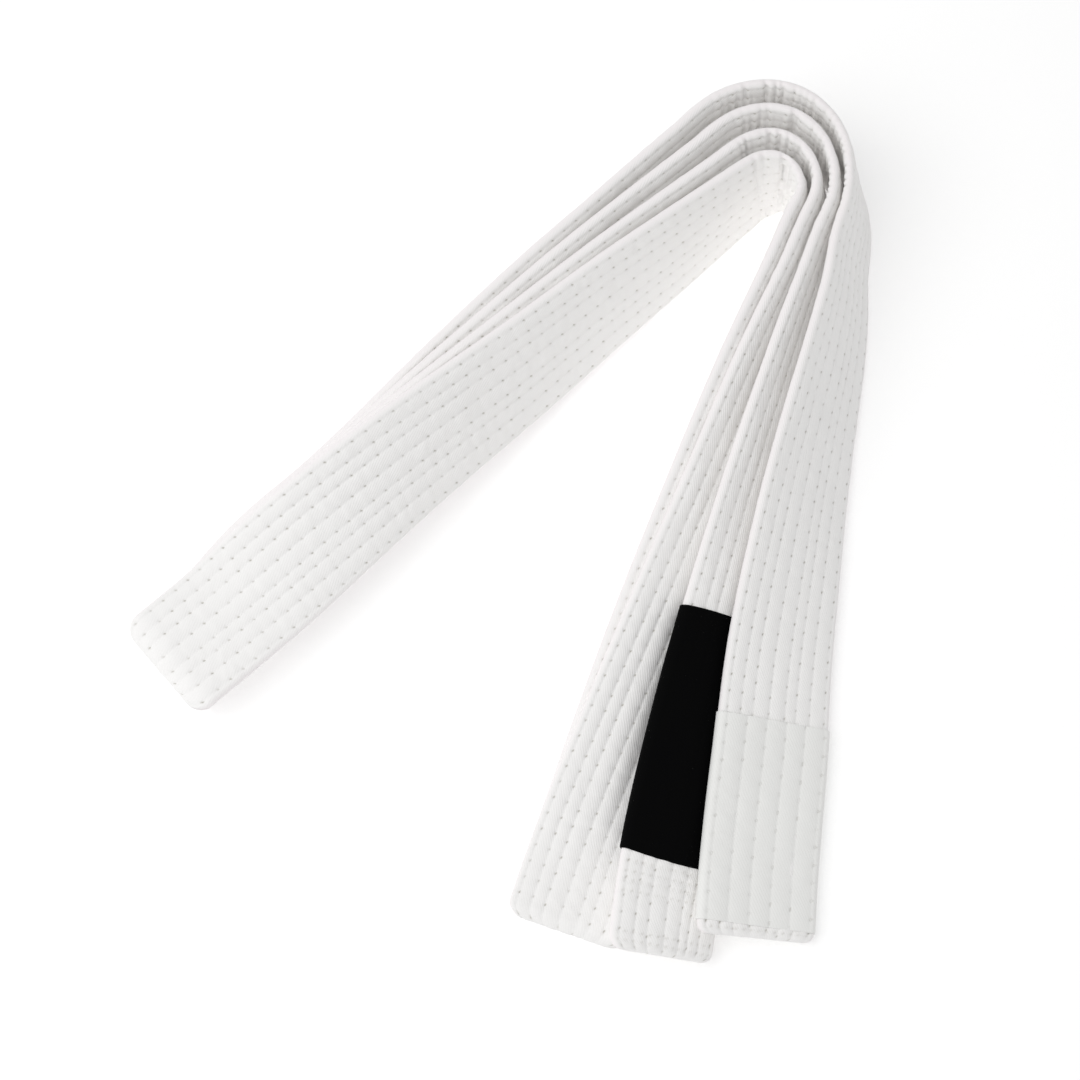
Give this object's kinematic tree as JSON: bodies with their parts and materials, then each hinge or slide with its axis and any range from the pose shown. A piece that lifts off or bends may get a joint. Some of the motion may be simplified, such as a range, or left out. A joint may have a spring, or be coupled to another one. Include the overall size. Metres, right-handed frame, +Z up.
{
  "type": "quilted martial arts belt, folded",
  "caption": "White quilted cotton martial arts belt with a black rank bar, folded into four strands and laid in a narrow V.",
  "frame": {"origin": "middle of the bounding box's underside, on the surface that the belt lies on", "axes": "+Z up; +Y towards the bend, where the strands stand on their edges; +X towards the arm with the rank bar"},
  "size_m": [0.2852, 0.334, 0.045],
  "materials": {
    "white_cotton_cover": "matte",
    "cotton_core": "matte",
    "black_cotton_bar": "satin",
    "white_label_cloth": "matte"
  },
  "bodies": {
    "right_arm": {"bar_end_core": "cotton_core", "bar_end_cover": "white_cotton_cover", "half_fold_core": "cotton_core", "half_fold_cover": "white_cotton_cover", "inner_bend_core": "cotton_core", "inner_bend_cover": "white_cotton_cover", "inner_right_core": "cotton_core", "inner_right_cover": "white_cotton_cover", "outer_bend_core": "cotton_core", "outer_bend_cover": "white_cotton_cover", "outer_right_core": "cotton_core", "outer_right_cover": "white_cotton_cover", "rank_bar": "black_cotton_bar", "second_bend_core": "cotton_core", "second_bend_cover": "white_cotton_cover", "third_bend_core": "cotton_core", "third_bend_cover": "white_cotton_cover", "third_right_core": "cotton_core", "third_right_cover": "white_cotton_cover"},
    "left_arm": {"inner_fold_core": "cotton_core", "inner_fold_cover": "white_cotton_cover", "inner_left_core": "cotton_core", "inner_left_cover": "white_cotton_cover", "outer_fold_core": "cotton_core", "outer_fold_cover": "white_cotton_cover", "outer_left_core": "cotton_core", "outer_left_cover": "white_cotton_cover", "second_left_core": "cotton_core", "second_left_cover": "white_cotton_cover", "third_left_core": "cotton_core", "third_left_cover": "white_cotton_cover"},
    "label_end": {"blank_label": "white_label_cloth", "label_end_core": "cotton_core", "label_end_cover": "white_cotton_cover"}
  },
  "joints": [
    {"name": "arm_swing", "type": "hinge", "parent": "right_arm", "child": "left_arm", "pos_m": [0.10368, 0.12053, 0.022], "axis": [0, 0, 1], "range_deg": [-30, 10], "deforming": ["inner_bend_core", "inner_bend_cover", "outer_bend_core", "outer_bend_cover", "second_bend_core", "second_bend_cover", "third_bend_core", "third_bend_cover"]},
    {"name": "label_end_lift", "type": "hinge", "parent": "right_arm", "child": "label_end", "pos_m": [0.10096, -0.06228, 0.01424], "axis": [-0.9033, 0.0827, 0.4211], "range_deg": [0, 60]}
  ]
}
